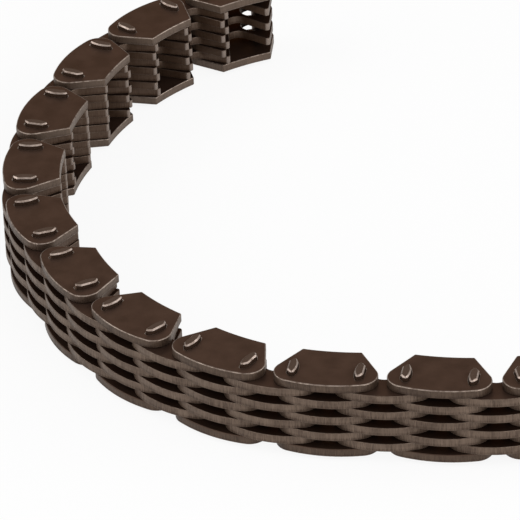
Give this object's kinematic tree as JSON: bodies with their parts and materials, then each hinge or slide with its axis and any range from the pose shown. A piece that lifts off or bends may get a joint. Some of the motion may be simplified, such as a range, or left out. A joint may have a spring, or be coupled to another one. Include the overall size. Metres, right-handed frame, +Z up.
{
  "type": "silent chain",
  "caption": "Open strand of silent chain with interleaved toothed plates, outer guide plates and rocker pin joints, lying on its side in a bend; drives toothed sprockets.",
  "frame": {"origin": "middle of the strand's box at rest, on the surface that it lies on", "axes": "+Z up, along the rocker pins and across the stack of plates; X along the straight near run, with the bend's far leg towards +Y and the toothed side inside the bend"},
  "size_m": [0.1146, 0.1408, 0.016],
  "materials": {
    "guide_plate": "satin dark brown oxide on blanked steel, with brighter cut edges",
    "toothed_plate": "dark brown oxide on the faces, striated grey-brown cut edges",
    "rocker_pin": "drawn steel with brown oxide, worn bright at the rims of its ends"
  },
  "bodies": {
    "guide_link_01": {"guide_plates_01": "guide_plate", "guide_link_plates_01": "toothed_plate", "guide_pins_01": "rocker_pin"},
    "inner_link_01": {"inner_link_plates_01": "toothed_plate", "inner_rockers_01": "rocker_pin"},
    "guide_link_02": {"guide_plates_02": "guide_plate", "guide_link_plates_02": "toothed_plate", "guide_pins_02": "rocker_pin"},
    "inner_link_02": {"inner_link_plates_02": "toothed_plate", "inner_rockers_02": "rocker_pin"},
    "guide_link_03": {"guide_plates_03": "guide_plate", "guide_link_plates_03": "toothed_plate", "guide_pins_03": "rocker_pin"},
    "inner_link_03": {"inner_link_plates_03": "toothed_plate", "inner_rockers_03": "rocker_pin"},
    "guide_link_04": {"guide_plates_04": "guide_plate", "guide_link_plates_04": "toothed_plate", "guide_pins_04": "rocker_pin"},
    "inner_link_04": {"inner_link_plates_04": "toothed_plate", "inner_rockers_04": "rocker_pin"},
    "guide_link_05": {"guide_plates_05": "guide_plate", "guide_link_plates_05": "toothed_plate", "guide_pins_05": "rocker_pin"},
    "inner_link_05": {"inner_link_plates_05": "toothed_plate", "inner_rockers_05": "rocker_pin"},
    "guide_link_06": {"guide_plates_06": "guide_plate", "guide_link_plates_06": "toothed_plate", "guide_pins_06": "rocker_pin"},
    "inner_link_06": {"inner_link_plates_06": "toothed_plate", "inner_rockers_06": "rocker_pin"},
    "guide_link_07": {"guide_plates_07": "guide_plate", "guide_link_plates_07": "toothed_plate", "guide_pins_07": "rocker_pin"},
    "inner_link_07": {"inner_link_plates_07": "toothed_plate", "inner_rockers_07": "rocker_pin"},
    "guide_link_08": {"guide_plates_08": "guide_plate", "guide_link_plates_08": "toothed_plate", "guide_pins_08": "rocker_pin"},
    "inner_link_08": {"inner_link_plates_08": "toothed_plate", "inner_rockers_08": "rocker_pin"},
    "guide_link_09": {"guide_plates_09": "guide_plate", "guide_link_plates_09": "toothed_plate", "guide_pins_09": "rocker_pin"},
    "inner_link_09": {"inner_link_plates_09": "toothed_plate", "inner_rockers_09": "rocker_pin"},
    "guide_link_10": {"guide_plates_10": "guide_plate", "guide_link_plates_10": "toothed_plate", "guide_pins_10": "rocker_pin"},
    "inner_link_10": {"inner_link_plates_10": "toothed_plate", "inner_rockers_10": "rocker_pin"},
    "guide_link_11": {"guide_plates_11": "guide_plate", "guide_link_plates_11": "toothed_plate", "guide_pins_11": "rocker_pin"},
    "inner_link_11": {"inner_link_plates_11": "toothed_plate", "inner_rockers_11": "rocker_pin"},
    "guide_link_12": {"guide_plates_12": "guide_plate", "guide_link_plates_12": "toothed_plate", "guide_pins_12": "rocker_pin"}
  },
  "joints": [
    {"name": "rocker_joint_01", "type": "hinge", "parent": "inner_link_01", "child": "guide_link_01", "pos_m": [0.04406, -0.064, 0], "axis": [0, 0, 1], "range_deg": [-16, 7]},
    {"name": "rocker_joint_02", "type": "hinge", "parent": "guide_link_02", "child": "inner_link_01", "pos_m": [0.03468, -0.06565, 0], "axis": [0, 0, 1], "range_deg": [-18, 5]},
    {"name": "rocker_joint_03", "type": "hinge", "parent": "inner_link_02", "child": "guide_link_02", "pos_m": [0.02515, -0.06565, 0], "axis": [0, 0, 1], "range_deg": [-6, 17]},
    {"name": "rocker_joint_04", "type": "hinge", "parent": "guide_link_03", "child": "inner_link_02", "pos_m": [0.01563, -0.06599, 0], "axis": [0, 0, 1], "range_deg": [-11, 12]},
    {"name": "rocker_joint_05", "type": "hinge", "parent": "inner_link_03", "child": "guide_link_03", "pos_m": [0.00611, -0.06582, 0], "axis": [0, 0, 1], "range_deg": [-17, 6]},
    {"name": "rocker_joint_06", "type": "hinge", "parent": "guide_link_04", "child": "inner_link_03", "pos_m": [-0.00327, -0.06417, 0], "axis": [0, 0, 1], "range_deg": [-22, 1]},
    {"name": "rocker_joint_07", "type": "hinge", "parent": "inner_link_04", "child": "guide_link_04", "pos_m": [-0.01197, -0.06029, 0], "axis": [0, 0, 1], "range_deg": [-13, 10]},
    {"name": "rocker_joint_08", "type": "hinge", "parent": "guide_link_05", "child": "inner_link_04", "pos_m": [-0.0203, -0.05567, 0], "axis": [0, 0, 1], "range_deg": [-17, 6]},
    {"name": "rocker_joint_09", "type": "hinge", "parent": "inner_link_05", "child": "guide_link_05", "pos_m": [-0.02781, -0.04981, 0], "axis": [0, 0, 1], "range_deg": [-16, 7]},
    {"name": "rocker_joint_10", "type": "hinge", "parent": "guide_link_06", "child": "inner_link_05", "pos_m": [-0.03443, -0.04296, 0], "axis": [0, 0, 1], "range_deg": [-18, 5]},
    {"name": "rocker_joint_11", "type": "hinge", "parent": "guide_link_06", "child": "inner_link_06", "pos_m": [-0.03975, -0.03506, 0], "axis": [0, 0, -1], "range_deg": [-10, 13]},
    {"name": "rocker_joint_12", "type": "hinge", "parent": "inner_link_06", "child": "guide_link_07", "pos_m": [-0.0448, -0.02698, 0], "axis": [0, 0, -1], "range_deg": [-12, 11]},
    {"name": "rocker_joint_13", "type": "hinge", "parent": "guide_link_07", "child": "inner_link_07", "pos_m": [-0.04927, -0.01857, 0], "axis": [0, 0, -1], "range_deg": [-22, 1]},
    {"name": "rocker_joint_14", "type": "hinge", "parent": "inner_link_07", "child": "guide_link_08", "pos_m": [-0.05158, -0.00933, 0], "axis": [0, 0, -1], "range_deg": [-16, 7]},
    {"name": "rocker_joint_15", "type": "hinge", "parent": "guide_link_08", "child": "inner_link_08", "pos_m": [-0.05257, 0.00014, 0], "axis": [0, 0, -1], "range_deg": [-11, 12]},
    {"name": "rocker_joint_16", "type": "hinge", "parent": "inner_link_08", "child": "guide_link_09", "pos_m": [-0.05307, 0.00965, 0], "axis": [0, 0, -1], "range_deg": [-19, 4]},
    {"name": "rocker_joint_17", "type": "hinge", "parent": "guide_link_09", "child": "inner_link_09", "pos_m": [-0.05174, 0.01909, 0], "axis": [0, 0, -1], "range_deg": [-12, 11]},
    {"name": "rocker_joint_18", "type": "hinge", "parent": "inner_link_09", "child": "guide_link_10", "pos_m": [-0.04976, 0.0284, 0], "axis": [0, 0, -1], "range_deg": [-13, 10]},
    {"name": "rocker_joint_19", "type": "hinge", "parent": "guide_link_10", "child": "inner_link_10", "pos_m": [-0.04698, 0.03751, 0], "axis": [0, 0, -1], "range_deg": [-18, 5]},
    {"name": "rocker_joint_20", "type": "hinge", "parent": "inner_link_10", "child": "guide_link_11", "pos_m": [-0.04265, 0.046, 0], "axis": [0, 0, -1], "range_deg": [-16, 7]},
    {"name": "rocker_joint_21", "type": "hinge", "parent": "guide_link_11", "child": "inner_link_11", "pos_m": [-0.03719, 0.0538, 0], "axis": [0, 0, -1], "range_deg": [-17, 6]},
    {"name": "rocker_joint_22", "type": "hinge", "parent": "inner_link_11", "child": "guide_link_12", "pos_m": [-0.03058, 0.06065, 0], "axis": [0, 0, -1], "range_deg": [-18, 5]}
  ]
}
